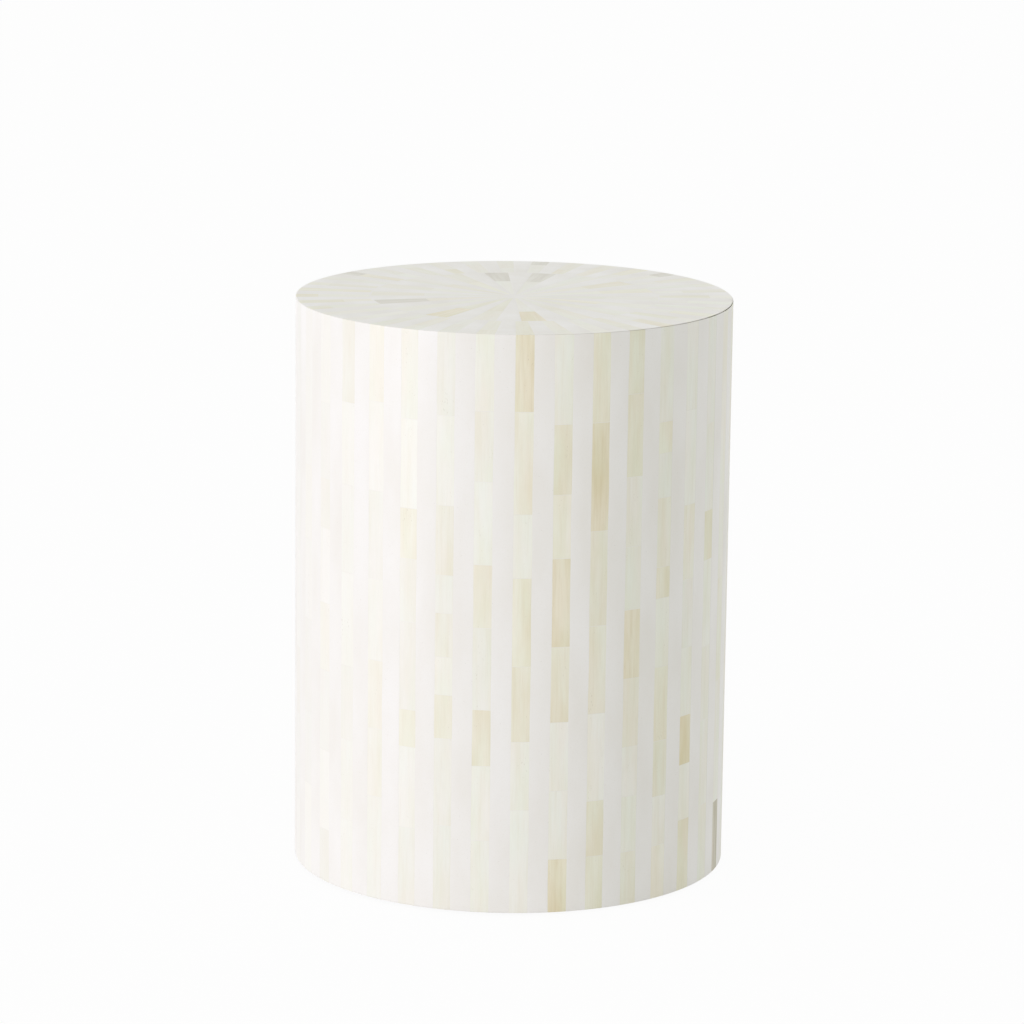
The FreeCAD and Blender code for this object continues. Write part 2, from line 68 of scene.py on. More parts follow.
# Painted light: the slats on the left, which face the lamp, are painted the palest, a painted highlight of
# the lit side; the seat's rays are faded paler than the wall, each tone by its own share.
WALL_PAINTED_LIGHT = 0.75
WALL_PAINTED_LIGHT_FALL = 2
WALL_PAINTED_LIGHT_FACING = math.radians(-80)
SEAT_FADE = {"ivory": 0.3, "cream": 0.4, "honey": 0.3, "amber": 0.1, "smoke": 0.52}

# The seam between the wall and the seat is tight on the left and a little open at the right.
SEAM_TIGHT = 0.08 * MM
SEAM_OPEN = 1.0 * MM
SEAM_OPEN_FACING = math.radians(70)
SEAM_OPEN_FALL = 3
SEAM_WAVE = 0.5
SEAM_WAVE_TURN = math.radians(4)

# Which of the possible random looks the bone pieces have, and how far apart, in millimetres, they may lie
# in the pattern of the bone.
LOOK = 26
GRAIN_SPREAD = (400, 4000, 400)

# How finely the meshes are divided, and what counts as the same corner, the rim or the foot, the same
# column or ray, or as lying beside a ray.
WALL_STEP = 8 * MM
SEAT_STEP = 14 * MM
BAND_STEPS = 5
JOINT_STEPS = 6
SHARP_EDGE = math.radians(40)
WELD = 0.005 * MM
AT_EDGE = 1 * MM
SAME_COLUMN = math.radians(1)
SAME_RAY = math.radians(0.5)
BESIDE_RAY = math.radians(4)

# One piece of bone as it was packed, and one whole ray of the seat.
Solid = namedtuple("Solid", "facing low high half_low half_high back tone")
Ray = namedtuple("Ray", "facing spread near far")


# Places and directions

def place(facing, across, out, z):
    """A point given across and out from the axis, seen along a facing.

    A facing of 0 is the front, and a quarter turn is +X.
    """
    cos, sin = math.cos(facing), math.sin(facing)
    return Vector((across * cos + out * sin, across * sin - out * cos, z))


def seen_from(facing, point):
    """The across and out of a point along a facing."""
    cos, sin = math.cos(facing), math.sin(facing)
    return point.x * cos + point.y * sin, point.x * sin - point.y * cos


def turn_between(first, second):
    """The turn from one facing to another, between minus and plus half a turn."""
    return (first - second + math.pi) % (2 * math.pi) - math.pi


def radii(node):
    """The least and the greatest distance of a node's corners from the upright axis."""
    distances = [math.hypot(v.co.x, v.co.y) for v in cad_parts[node].data.vertices]
    return min(distances), max(distances)


WALL_BACK, WALL_RADIUS = radii("wall_resin")
WALL_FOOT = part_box("wall_resin")[0].z
SEAT_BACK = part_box("seat_resin")[0].z
RIM_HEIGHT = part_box("wall_resin")[1].z
RIM_INSET = RIM_ROUND - RIM_REACH


def seam_gap(facing):
    """The width of the seam at the rim, which strays a little because it was cut by hand."""
    share = max(0.0, math.cos(facing - SEAM_OPEN_FACING)) ** SEAM_OPEN_FALL
    stray = noise.noise(Vector((math.cos(facing), math.sin(facing), 0)) / SEAM_WAVE_TURN)
    return SEAM_TIGHT + (SEAM_OPEN - SEAM_TIGHT) * share * (1 + SEAM_WAVE * stray)


def wall_end(facing):
    """The height at which the wall inlay ends under the rim."""
    return RIM_HEIGHT - RIM_INSET - seam_gap(facing) / 2


def seat_end(facing):
    """The distance from the axis at which the seat inlay ends at the rim."""
    return WALL_RADIUS - RIM_INSET - seam_gap(facing) / 2


def eased(distance, radius, reach):
    """How far a sanded edge falls away at a distance from that edge."""
    if distance >= reach:
        return 0.0
    share = min(1.0, (reach - distance) / radius)
    return radius * (1 - math.sqrt(1 - share * share))


def face_wave(point):
    """How far the sanded face is out of true at a point."""
    return FACE_WAVE * (0.5 + 0.5 * noise.noise(point / FACE_WAVE_LENGTH))


def side_wave(facing, side, along):
    """How far a hand-sawn side of a column of slats strays from its line at a height."""
    spot = Vector((facing * COLUMNS_APART, side * SIDES_APART, along / SIDE_WAVE_LENGTH))
    return SIDE_WAVE * noise.noise(spot)


def wall_painted_light(facing):
    """How much painted light pales the slats that lie along a facing: a painted highlight, strongest on the
    left, where the lamp shines.
    """
    return WALL_PAINTED_LIGHT * max(0.0, math.cos(facing - WALL_PAINTED_LIGHT_FACING)) ** WALL_PAINTED_LIGHT_FALL


def stations(low, high, low_reach, high_reach, step):
    """Places from low to high, close together over the eased ends and about a step apart between."""
    first, last = low + low_reach, high - high_reach
    count = max(1, round((last - first) / step))
    between = [first + (last - first) * k / count for k in range(1, count)]
    start = [low, low + low_reach / 3, first, first + low_reach]
    end = [last - high_reach, last, high - high_reach / 3, high]
    return start + between + end


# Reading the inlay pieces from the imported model

def separate_solids(node):
    """The corner points of each separate solid of a node."""
    mesh = bmesh.new()
    mesh.from_mesh(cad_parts[node].data)
    bmesh.ops.remove_doubles(mesh, verts=mesh.verts, dist=WELD)
    waiting = set(mesh.verts)
    groups = []
    for start in list(mesh.verts):
        if start not in waiting:
            continue
        waiting.remove(start)
        group, front = [start], [start]
        while front:
            vert = front.pop()
            for edge in vert.link_edges:
                other = edge.other_vert(vert)
                if other in waiting:
                    waiting.remove(other)
                    group.append(other)
                    front.append(other)
        groups.append([v.co.copy() for v in group])
    mesh.free()
    return groups


def facing_of(points):
    """The direction from the axis in which a solid lies."""
    middle = sum(points, Vector()) / len(points)
    first = math.atan2(middle.x, -middle.y)
    turns = [math.atan2(*seen_from(first, point)) for point in points]
    return first + (min(turns) + max(turns)) / 2


def wall_solids(tone):
    """The slats of one tone on the wall: low and high are heights."""
    found = []
    for points in separate_solids(f"wall_bone_{tone}"):
        facing = facing_of(points)
        seen = [seen_from(facing, point) for point in points]
        heights = [point.z for point in points]
        half = max(abs(across) for across, out in seen)
        back = min(out for across, out in seen)
        found.append(Solid(facing, min(heights), max(heights), half, half, back, tone))
    return sorted(found)


def seat_solids(tone):
    """The ray pieces of one tone on the seat: low and high are distances from the axis."""
    found = []
    for points in separate_solids(f"seat_bone_{tone}"):
        facing = facing_of(points)
        seen = [seen_from(facing, point) for point in points]
        near = min(out for across, out in seen)
        far = max(out for across, out in seen)
        spread = max(abs(across) / out for across, out in seen)
        back = min(point.z for point in points)
        found.append(Solid(facing, near, far, near * spread, far * spread, back, tone))
    return sorted(found)


WALL_SOLIDS = {tone: wall_solids(tone) for tone in TONES}
SEAT_SOLIDS = {tone: seat_solids(tone) for tone in TONES}
SLAT_HALF = max(slat.half_low for slats in WALL_SOLIDS.values() for slat in slats)
SLAT_BACK = min(slat.back for slats in WALL_SOLIDS.values() for slat in slats)


# Mesh pieces

def finish_mesh(mesh, name, material, slot, *nodes):
    """Makes an object of a mesh, with smooth faces and sharp corners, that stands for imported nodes."""
    many_sided = [face for face in mesh.faces if len(face.verts) > 4]
    bmesh.ops.triangulate(mesh, faces=many_sided, ngon_method="BEAUTY")
    bmesh.ops.recalc_face_normals(mesh, faces=mesh.faces)
    data = bpy.data.meshes.new(name)
    mesh.to_mesh(data)
    mesh.free()
    data.shade_smooth()
    data.set_sharp_from_angle(angle=SHARP_EDGE)
    data.materials.append(material)
    piece = bpy.data.objects.new(name, data)
    bpy.context.scene.collection.objects.link(piece)
    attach(piece, "root")
    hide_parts(*nodes)


class Plates:
    """Collects eased plates in one mesh, each with its own grain, tint, paleness and edge attributes; the
    paleness is painted light on the wall and fade on the seat.
    """

    def __init__(self):
        self.mesh = bmesh.new()
        self.grain = self.mesh.verts.layers.float_vector.new("grain")
        self.tint = self.mesh.verts.layers.float.new("tint")
        self.fade_and_painted_light = self.mesh.verts.layers.float.new("fade_and_painted_light")
        self.edge = self.mesh.verts.layers.float.new("edge")

    def add(self, shares, rows, half, top, back, fade_and_painted_light, seed):
        """One plate: shares run across it from -1 to 1, and rows run along it.

        half gives its half width at a row, top and back give the points of its two faces for an across
        and a row, and its paleness is painted light on the wall, where slats facing the lamp are painted
        paler, and fade on the seat.
        """
        choice = random.Random(seed)
        shift = Vector([choice.uniform(0, spread) for spread in GRAIN_SPREAD])
        tint = choice.random()
        grid = []
        for row in rows:
            line = []
            for share in shares:
                across = share * half(row, share)
                from_side = half(row, share) * (1 - abs(share))
                inside = min(from_side, row - rows[0], rows[-1] - row)
                vert = self.mesh.verts.new(top(across, row, from_side))
                vert[self.grain] = Vector((across, row, 0)) / MM + shift
                vert[self.tint] = tint
                vert[self.fade_and_painted_light] = fade_and_painted_light
                vert[self.edge] = inside / MM
                line.append(vert)
            grid.append(line)
        for lower, upper in zip(grid, grid[1:]):
            for k in range(len(shares) - 1):
                self.mesh.faces.new((lower[k], lower[k + 1], upper[k + 1], upper[k]))
        self.close(grid, shares, rows, half, back)

    def close(self, grid, shares, rows, half, back):
        """The sides and the back of a plate."""
        last_row, last_share = len(rows) - 1, len(shares) - 1
        border = [(0, k) for k in range(last_share)]
        border += [(k, last_share) for k in range(last_row)]
        border += [(last_row, k) for k in range(last_share, 0, -1)]
        border += [(k, 0) for k in range(last_row, 0, -1)]
        under = {}
        for row, share in border:
            across = shares[share] * half(rows[row], shares[share])
            vert = self.mesh.verts.new(back(across, rows[row]))
            for layer in (self.grain, self.tint, self.fade_and_painted_light, self.edge):
                vert[layer] = grid[row][share][layer]
            under[row, share] = vert
        for here, after in zip(border, border[1:] + border[:1]):
            over, next_over = grid[here[0]][here[1]], grid[after[0]][after[1]]
            self.mesh.faces.new((over, under[here], under[after], next_over))
        for k in range(1, last_row - 1):
            lower = (under[k, 0], under[k, last_share])
            upper = (under[k + 1, last_share], under[k + 1, 0])
            self.mesh.faces.new(lower + upper)
        middle = last_share // 2
        for end, beside in ((0, 1), (last_row, last_row - 1)):
            for k in range(last_share):
                corner = 0 if k < middle else last_share
                self.mesh.faces.new((under[end, k], under[end, k + 1], under[beside, corner]))
            self.mesh.faces.new((under[beside, 0], under[end, middle], under[beside, last_share]))


def piece_mark(piece):
    """A mark that tells a piece by its place, so that its random look stays with that place."""
    return f"{LOOK} {round(math.degrees(piece.facing))} {round(piece.low / MM)}"


def slat_shares(half):
    """Where the lines of a plate run across it."""
    reach = min(EDGE_REACH, half / 4)
    return [across / half for across in stations(-half, half, reach, reach, half / 2)]


def add_slat(plates, slat, seed):
    """One slat on the wall: rounded with the drum in front, flat at the back, mitred under the rim."""
    choice = random.Random(f"level {seed}")
    level = choice.uniform(0, LEVEL_SPREAD)
    at_rim = slat.high > RIM_HEIGHT - AT_EDGE
    at_foot = slat.low < WALL_FOOT + AT_EDGE
    low, high = slat.low, wall_end(slat.facing) if at_rim else slat.high
    low_round, low_reach = (FOOT_ROUND, FOOT_ROUND) if at_foot else (EDGE_ROUND, EDGE_REACH)
    high_round, high_reach = (RIM_ROUND, RIM_REACH) if at_rim else (EDGE_ROUND, EDGE_REACH)
    rows = stations(low, high, low_reach, high_reach, WALL_STEP)
    back_high = high - (WALL_RADIUS - slat.back) if at_rim else high

    def half(row, share):
        side = math.copysign(1, share)
        return slat.half_low + side * side_wave(slat.facing, side, row)

    def top(across, row, from_side):
        drop = max(
            eased(from_side, EDGE_ROUND, EDGE_REACH),
            eased(row - low, low_round, low_reach),
            eased(high - row, high_round, high_reach),
        )
        flat = place(slat.facing, across, math.sqrt(WALL_RADIUS ** 2 - across ** 2), row)
        radius = WALL_RADIUS - drop - level - face_wave(flat)
        return place(slat.facing, across, math.sqrt(radius ** 2 - across ** 2), row)

    def back(across, row):
        height = low + (row - low) * (back_high - low) / (high - low)
        return place(slat.facing, across, slat.back, height)

    # Slats that face the lamp are painted paler: painted light on the lit side.
    plates.add(slat_shares(slat.half_low), rows, half, top, back, wall_painted_light(slat.facing), seed)


def add_ray_piece(plates, ray, seed):
    """One piece of a ray on the seat: a flat wedge, mitred where it meets the rim."""
    choice = random.Random(f"level {seed}")
    level = choice.uniform(0, LEVEL_SPREAD)
    at_rim = ray.high > WALL_RADIUS - AT_EDGE
    spread = ray.half_high / ray.high
    low, high = ray.low, seat_end(ray.facing) if at_rim else ray.high
    high_round, high_reach = (RIM_ROUND, RIM_REACH) if at_rim else (EDGE_ROUND, EDGE_REACH)
    rows = stations(low, high, EDGE_REACH, high_reach, SEAT_STEP / 2)
    back_high = high - (RIM_HEIGHT - ray.back) if at_rim else high

    def half(row, share):
        return row * spread

    def rounded(across, row):
        """At the rim the end of the piece follows the circle, and further in the rows are straight."""
        if not at_rim:
            return row
        share = (row - low) / (high - low)
        return row + share * (math.sqrt(high ** 2 - across ** 2) - high)

    def top(across, row, from_side):
        drop = max(
            eased(from_side, EDGE_ROUND, EDGE_REACH),
            eased(row - low, EDGE_ROUND, EDGE_REACH),
            eased(high - row, high_round, high_reach),
        )
        out = rounded(across, row)
        flat = place(ray.facing, across, out, RIM_HEIGHT)
        return place(ray.facing, across, out, RIM_HEIGHT - drop - level - face_wave(flat))

    def back(across, row):
        out = low + (rounded(across, row) - low) * (back_high - low) / (high - low)
        return place(ray.facing, across, out, ray.back)

    plates.add(slat_shares(low * spread), rows, half, top, back, SEAT_FADE[ray.tone], seed)


# Materials

def linear(red, green, blue):
    """A colour as it is seen on a screen, from 0 to 255, as the light that it reflects."""
    values = []
    for level in (red, green, blue):
        share = level / 255
        values.append(share / 12.92 if share <= 0.04045 else ((share + 0.055) / 1.055) ** 2.4)
    return (*values, 1.0)


class Surface:
    """A material and short ways to add nodes to it."""

    def __init__(self, name):
        self.material = bpy.data.materials.new(name)
        self.material.use_nodes = True
        self.tree = self.material.node_tree
        self.shader = self.tree.nodes["Principled BSDF"]

    def put(self, socket, value):
        """Sets a socket, or links it if the value is another node's socket."""
        if isinstance(value, bpy.types.NodeSocket):
            self.tree.links.new(value, socket)
        else:
            socket.default_value = value

    def node(self, kind, inputs=(), **settings):
        made = self.tree.nodes.new(kind)
        for key, value in settings.items():
            setattr(made, key, value)
        for key, value in dict(inputs).items():
            self.put(made.inputs[key], value)
        return made

    def attribute(self, name, output):
        return self.node("ShaderNodeAttribute", attribute_name=name).outputs[output]

    def spot(self):
        """The place on the object, in millimetres."""
        return self.scaled(self.node("ShaderNodeTexCoord").outputs["Object"], (1 / MM,) * 3)

    def scaled(self, vector, scale):
        made = self.node("ShaderNodeVectorMath", {0: vector, 1: scale}, operation="MULTIPLY")
        return made.outputs["Vector"]

    def noise(self, vector, scale, detail=3.0, roughness=0.5):
        inputs = {"Vector": self.scaled(vector, scale), "Scale": 1.0}
        inputs.update({"Detail": detail, "Roughness": roughness})
        return self.node("ShaderNodeTexNoise", inputs).outputs["Fac"]

    def cells(self, vector, scale):
        inputs = {"Vector": self.scaled(vector, scale), "Scale": 1.0}
        return self.node("ShaderNodeTexVoronoi", inputs).outputs["Distance"]

    def ranged(self, value, from_low, from_high, to_low, to_high):
        inputs = {0: value, 1: from_low, 2: from_high, 3: to_low, 4: to_high}
        return self.node("ShaderNodeMapRange", inputs).outputs[0]

    def math(self, operation, first, second):
        return self.node("ShaderNodeMath", {0: first, 1: second}, operation=operation).outputs[0]

    def mix(self, share, first, second, blend="MIX"):
        made = self.node("ShaderNodeMix", data_type="RGBA", blend_type=blend)
        self.put(made.inputs[0], share)
        self.put(made.inputs[6], first)
        self.put(made.inputs[7], second)
        return made.outputs[2]

    def bump(self, height, depth):
        inputs = {"Height": height, "Distance": depth, "Strength": 1.0}
        self.put(self.shader.inputs["Normal"], self.node("ShaderNodeBump", inputs).outputs["Normal"])

    def finish(self, colour, roughness):
        self.put(self.shader.inputs["Base Color"], colour)
        self.put(self.shader.inputs["Roughness"], roughness)
        return self.material


# Colours as they are seen on a screen. Two stand for a pale and a deep one of the same material.
RESIN_COLOURS = ((241, 239, 236), (236, 233, 227))
RESIN_SPECK = (229, 225, 216)
RESIN_HOLE = (170, 163, 150)
STEEL_COLOURS = ((205, 205, 200), (176, 174, 166))
NYLON_COLOURS = ((226, 224, 216), (204, 200, 189))
FLOOR_COLOUR = (236, 236, 236)
BONE_COLOURS = {
    "ivory": ((243, 242, 235), (239, 237, 223)),
    "cream": ((242, 240, 228), (236, 231, 210)),
    "honey": ((242, 240, 224), (234, 227, 202)),
    "amber": ((240, 234, 213), (227, 216, 182)),
    "smoke": ((219, 214, 199), (188, 181, 158)),
}
# How strongly the streaks show in each tone, and how much darker they are than its deep colour.
STREAK_STRENGTH = {"ivory": 0.26, "cream": 0.28, "honey": 0.30, "amber": 0.40, "smoke": 1.0}
STREAK_SHADE = (0.94, 0.92, 0.88)
# What painted light on the wall and fading on the seat, rubbed edges and pores turn the bone to, and the
# casts that it has in places.
FADED_AND_PAINTED_LIGHT_COLOUR = (241, 239, 235)
FIBRE_COLOUR = (222, 215, 196)
PORE_COLOUR = (150, 132, 102)
OLIVE_CAST = (0.976, 1.0, 0.978, 1)
PEACH_CAST = (1.0, 0.982, 0.976, 1)
# How often a feature of the bone comes in each millimetre, across and along the grain.
SWEEP_SCALE = (0.065, 0.011, 1.0)
CLOUD_SCALE = (0.16, 0.03, 1.0)
CAST_SCALE = (0.06, 0.014, 1.0)
STREAK_SCALE = (0.42, 0.018, 1.0)
FIBRE_SCALE = (7.0, 0.11, 1.0)
PORE_SCALE = (1.5, 0.16, 1.0)
PORE_PATCH_SCALE = (0.12, 0.03, 1.0)
# A piece's tint times this, without the whole part, is a second random number, for its lightness.
BATCHES = 17.0
# How often a feature of resin, steel and nylon comes in each millimetre, along X, Y and Z.
RESIN_CLOUD_SCALE = (0.03, 0.03, 0.012)
RESIN_SPECK_SCALE = (1.1, 1.1, 0.8)
RESIN_LINE_SCALE = (2.4, 2.4, 0.05)
RESIN_HOLE_SCALE = (0.16, 0.16, 0.16)
STEEL_HAZE_SCALE = (0.4, 0.4, 0.4)
STEEL_LINE_SCALE = (6.0, 6.0, 0.7)
NYLON_GRAIN_SCALE = (3.5, 3.5, 3.5)
NYLON_RUBBED_SCALE = (0.12, 0.12, 0.12)
# Wood: how often its features come in each millimetre across the grain, how many rings lie in a broad wave,
# the shade of its pores against its deep colour, and how far its roughness varies.
WOOD_RING_SCALE = 0.035
WOOD_RINGS = 9.0
WOOD_FIBRE_SCALE = 1.1
WOOD_PORE_SCALE = 2.6
WOOD_PORE_SHADE = 0.6
WOOD_ROUGHNESS_SPREAD = 0.06
# How deep the bumps are in bone, resin and nylon, in steel, and in wood.
FINE_BUMP = 0.03 * MM
STEEL_BUMP = 0.01 * MM
WOOD_BUMP = 0.08 * MM


def bone_material(tone):
    """Polished bone: a slow change of depth along each piece, soft streaks, fibres and scattered pores,
    paled by painted light on the wall's lit side and by fade on the seat.
    """
    surface = Surface(f"bone_{tone}")
    grain = surface.attribute("grain", "Vector")
    tint = surface.attribute("tint", "Fac")
    # The paleness of a piece: painted light on the wall's lit side, fade on the seat.
    fade_and_painted_light = surface.attribute("fade_and_painted_light", "Fac")
    edge = surface.attribute("edge", "Fac")
    pale, deep = (linear(*colour) for colour in BONE_COLOURS[tone])

    sweep = surface.ranged(surface.noise(grain, SWEEP_SCALE, detail=1.0), 0.30, 0.70, 0.0, 0.80)
    clouds = surface.ranged(surface.noise(grain, CLOUD_SCALE), 0.35, 0.70, 0.0, 0.40)
    depth = surface.math("ADD", sweep, clouds)
    depth = surface.math("ADD", depth, surface.ranged(tint, 0, 1, -0.32, -0.02))
    colour = surface.mix(depth, pale, deep)
    batch = surface.math("FRACT", surface.math("MULTIPLY", tint, BATCHES), 0.0)

    cast = surface.noise(grain, CAST_SCALE, detail=2.0)
    cast = surface.mix(surface.ranged(cast, 0.35, 0.65, 0.0, 1.0), OLIVE_CAST, PEACH_CAST)
    colour = surface.mix(1.0, colour, cast, "MULTIPLY")

    streaks = surface.noise(grain, STREAK_SCALE, detail=4.0, roughness=0.6)
    streak_share = surface.ranged(streaks, 0.47, 0.75, 0.0, STREAK_STRENGTH[tone])
    streak_colour = [level * shade for level, shade in zip(BONE_COLOURS[tone][1], STREAK_SHADE)]
    colour = surface.mix(streak_share, colour, linear(*streak_colour))
    # Painted light: slats on the lit side are painted paler towards this colour; on the seat the same mix
    # is fade.
    colour = surface.mix(fade_and_painted_light, colour, linear(*FADED_AND_PAINTED_LIGHT_COLOUR))

    fibres = surface.noise(grain, FIBRE_SCALE, detail=2.0)
    lightness = surface.ranged(fibres, 0.25, 0.75, 0.965, 1.02)
    lightness = surface.math("MULTIPLY", lightness, surface.ranged(batch, 0, 1, 0.975, 1.012))
    grey = surface.node("ShaderNodeCombineColor", {0: lightness, 1: lightness, 2: lightness})
    colour = surface.mix(1.0, colour, grey.outputs[0], "MULTIPLY")

    pores = surface.cells(grain, PORE_SCALE)
    patches = surface.noise(grain, PORE_PATCH_SCALE, detail=1.0)
    pore_size = surface.ranged(patches, 0.45, 0.75, 0.0, 0.16)
    pore_mask = surface.ranged(surface.math("SUBTRACT", pore_size, pores), 0.0, 0.05, 0.0, 0.55)
    colour = surface.mix(pore_mask, colour, linear(*PORE_COLOUR))
    rubbed = surface.ranged(edge, 0.0, 0.25, 0.12, 0.0)
    colour = surface.mix(rubbed, colour, linear(*FIBRE_COLOUR))

    height = surface.math("SUBTRACT", surface.math("MULTIPLY", fibres, 0.35), pore_mask)
    surface.bump(height, FINE_BUMP)
    roughness = surface.ranged(fibres, 0.2, 0.8, 0.36, 0.48)
    return surface.finish(colour, roughness)


def resin_material():
    """Cast white resin, sanded and waxed: faint clouds, sanding lines and a few pinholes."""
    surface = Surface("white_resin")
    spot = surface.spot()
    clouds = surface.noise(spot, RESIN_CLOUD_SCALE, detail=4.0)
    specks = surface.noise(spot, RESIN_SPECK_SCALE, detail=2.0)
    lines = surface.noise(spot, RESIN_LINE_SCALE, detail=3.0)
    pale, deep = (linear(*colour) for colour in RESIN_COLOURS)
    colour = surface.mix(surface.ranged(clouds, 0.3, 0.7, 0.0, 1.0), pale, deep)
    colour = surface.mix(surface.ranged(specks, 0.55, 0.8, 0.0, 0.35), colour, linear(*RESIN_SPECK))
    holes = surface.cells(spot, RESIN_HOLE_SCALE)
    hole_mask = surface.ranged(holes, 0.035, 0.02, 0.0, 0.7)
    colour = surface.mix(hole_mask, colour, linear(*RESIN_HOLE))
    height = surface.math("SUBTRACT", surface.math("MULTIPLY", lines, 0.2), hole_mask)
    surface.bump(height, FINE_BUMP)
    roughness = surface.ranged(clouds, 0.3, 0.7, 0.34, 0.46)
    return surface.finish(colour, roughness)


def wood_material(name, pale, deep, stretch, roughness):
    """Sawn or peeled wood: rings drawn out along the grain, darker fibres and short pores."""
    surface = Surface(name)
    spot = surface.spot()

    def stretched(scale):
        return tuple(scale * share for share in stretch)

    broad = surface.noise(spot, stretched(WOOD_RING_SCALE), detail=4.0, roughness=0.55)
    rings = surface.math("PINGPONG", surface.math("MULTIPLY", broad, WOOD_RINGS), 1.0)
    fibres = surface.noise(spot, stretched(WOOD_FIBRE_SCALE), detail=3.0)
    pores = surface.noise(spot, stretched(WOOD_PORE_SCALE), detail=1.0)
    colour = surface.mix(surface.ranged(rings, 0.0, 1.0, 0.0, 0.75), linear(*pale), linear(*deep))
    colour = surface.mix(surface.ranged(fibres, 0.4, 0.75, 0.0, 0.45), colour, linear(*deep))
    pore_mask = surface.ranged(pores, 0.66, 0.72, 0.0, 0.5)
    colour = surface.mix(pore_mask, colour, linear(*(WOOD_PORE_SHADE * level for level in deep)))
    surface.bump(surface.math("SUBTRACT", fibres, pore_mask), WOOD_BUMP)
    smooth, rough = roughness - WOOD_ROUGHNESS_SPREAD, roughness + WOOD_ROUGHNESS_SPREAD
    return surface.finish(colour, surface.ranged(fibres, 0.2, 0.8, smooth, rough))


def steel_material():
    """Zinc-plated steel with drawn lines and a slight haze."""
    surface = Surface("screw_steel")
    spot = surface.spot()
    haze = surface.noise(spot, STEEL_HAZE_SCALE, detail=3.0)
    lines = surface.noise(spot, STEEL_LINE_SCALE, detail=2.0)
    pale, deep = (linear(*colour) for colour in STEEL_COLOURS)
    colour = surface.mix(surface.ranged(haze, 0.3, 0.7, 0.0, 1.0), pale, deep)
    surface.put(surface.shader.inputs["Metallic"], 1.0)
    surface.bump(lines, STEEL_BUMP)
    return surface.finish(colour, surface.ranged(lines, 0.2, 0.8, 0.26, 0.42))


def nylon_material():
    """Moulded nylon: a fine spark-eroded grain, rubbed a little darker in patches."""
    surface = Surface("glide_nylon")
    spot = surface.spot()
    grain = surface.noise(spot, NYLON_GRAIN_SCALE, detail=2.0)
    rubbed = surface.noise(spot, NYLON_RUBBED_SCALE, detail=3.0)
    pale, deep = (linear(*colour) for colour in NYLON_COLOURS)
    colour = surface.mix(surface.ranged(rubbed, 0.35, 0.7, 0.0, 1.0), pale, deep)
    surface.bump(grain, FINE_BUMP)
    return surface.finish(colour, surface.ranged(grain, 0.2, 0.8, 0.42, 0.58))


# Inlay of the wall

def make_wall_bone(materials):
    """The slats of the wall, one piece of the scene for each tone."""
    for tone in TONES:
        plates = Plates()
        for slat in WALL_SOLIDS[tone]:
            add_slat(plates, slat, f"wall {piece_mark(slat)}")
        name, node = f"wall_slats_{tone}", f"wall_bone_{tone}"
        finish_mesh(plates.mesh, name, materials[tone], f"bone_{tone}", node)


def column_facings():
    """The facing of each upright column of slats, in order round the drum."""
    found = []
    for slat in sorted(slat for slats in WALL_SOLIDS.values() for slat in slats):
        if not found or slat.facing - found[-1] > SAME_COLUMN:
            found.append(slat.facing)
    return found


def wall_section(facings, height):
    """The ring of points that the wall resin has at a height.

    Each is a facing, a radius, and how far the face falls there, or None in the bed under the bone.
    """
    ring = []
    reach_turn = EDGE_REACH / WALL_RADIUS
    for number, facing in enumerate(facings):
        following = facings[(number + 1) % len(facings)]
        left = SLAT_HALF - side_wave(facing, -1, height)
        right = SLAT_HALF + side_wave(facing, 1, height)
        next_left = SLAT_HALF - side_wave(following, -1, height)
        ring.append((facing - math.atan2(left, SLAT_BACK), math.hypot(left, SLAT_BACK), None))
        ring.append((facing, SLAT_BACK, None))
        ring.append((facing + math.atan2(right, SLAT_BACK), math.hypot(right, SLAT_BACK), None))
        low = facing + math.asin(right / WALL_RADIUS)
        high = facing + (following - facing) % (2 * math.pi) - math.asin(next_left / WALL_RADIUS)
        for turn in stations(low, high, reach_turn, reach_turn, (high - low) / BAND_STEPS):
            from_side = min(turn - low, high - turn) * WALL_RADIUS
            ring.append((turn, WALL_RADIUS, eased(from_side, EDGE_ROUND, EDGE_REACH)))
    return ring


def wall_sheet_mesh(facings):
    """The wall resin: raised bands between the columns, and the bed in which the slats lie."""
    mesh = bmesh.new()
    top = RIM_HEIGHT - RIM_INSET
    lines = []
    for row in stations(WALL_FOOT, top, FOOT_ROUND, RIM_REACH, WALL_STEP):
        row_drop = max(
            eased(row - WALL_FOOT, FOOT_ROUND, FOOT_ROUND),
            eased(top - row, RIM_ROUND, RIM_REACH),
        )
        line = []
        for facing, radius, side_drop in wall_section(facings, row):
            end = wall_end(facing) - (WALL_RADIUS - radius)
            height = WALL_FOOT + (row - WALL_FOOT) * (end - WALL_FOOT) / (top - WALL_FOOT)
            if side_drop is not None:
                flat = place(facing, 0, radius, height)
                radius = radius - max(side_drop, row_drop) - face_wave(flat)
            line.append(mesh.verts.new(place(facing, 0, radius, height)))
        lines.append(line)
    back_end = top - (WALL_RADIUS - WALL_BACK)
    for height in (back_end, WALL_FOOT):
        turns = [facing for facing, radius, side_drop in wall_section(facings, height)]
        lines.append([mesh.verts.new(place(facing, 0, WALL_BACK, height)) for facing in turns])
    for lower, upper in zip(lines, lines[1:] + lines[:1]):
        for k in range(len(lower)):
            after = (k + 1) % len(lower)
            mesh.faces.new((lower[k], lower[after], upper[after], upper[k]))
    return mesh


def add_bar(mesh, first, second):
    """A closed bar between two loops of points that go round its ends."""
    ends = [[mesh.verts.new(point) for point in loop] for loop in (first, second)]
    for end in ends:
        mesh.faces.new(end)
    for k in range(len(first)):
        after = (k + 1) % len(first)
        mesh.faces.new((ends[0][k], ends[0][after], ends[1][after], ends[1][k]))


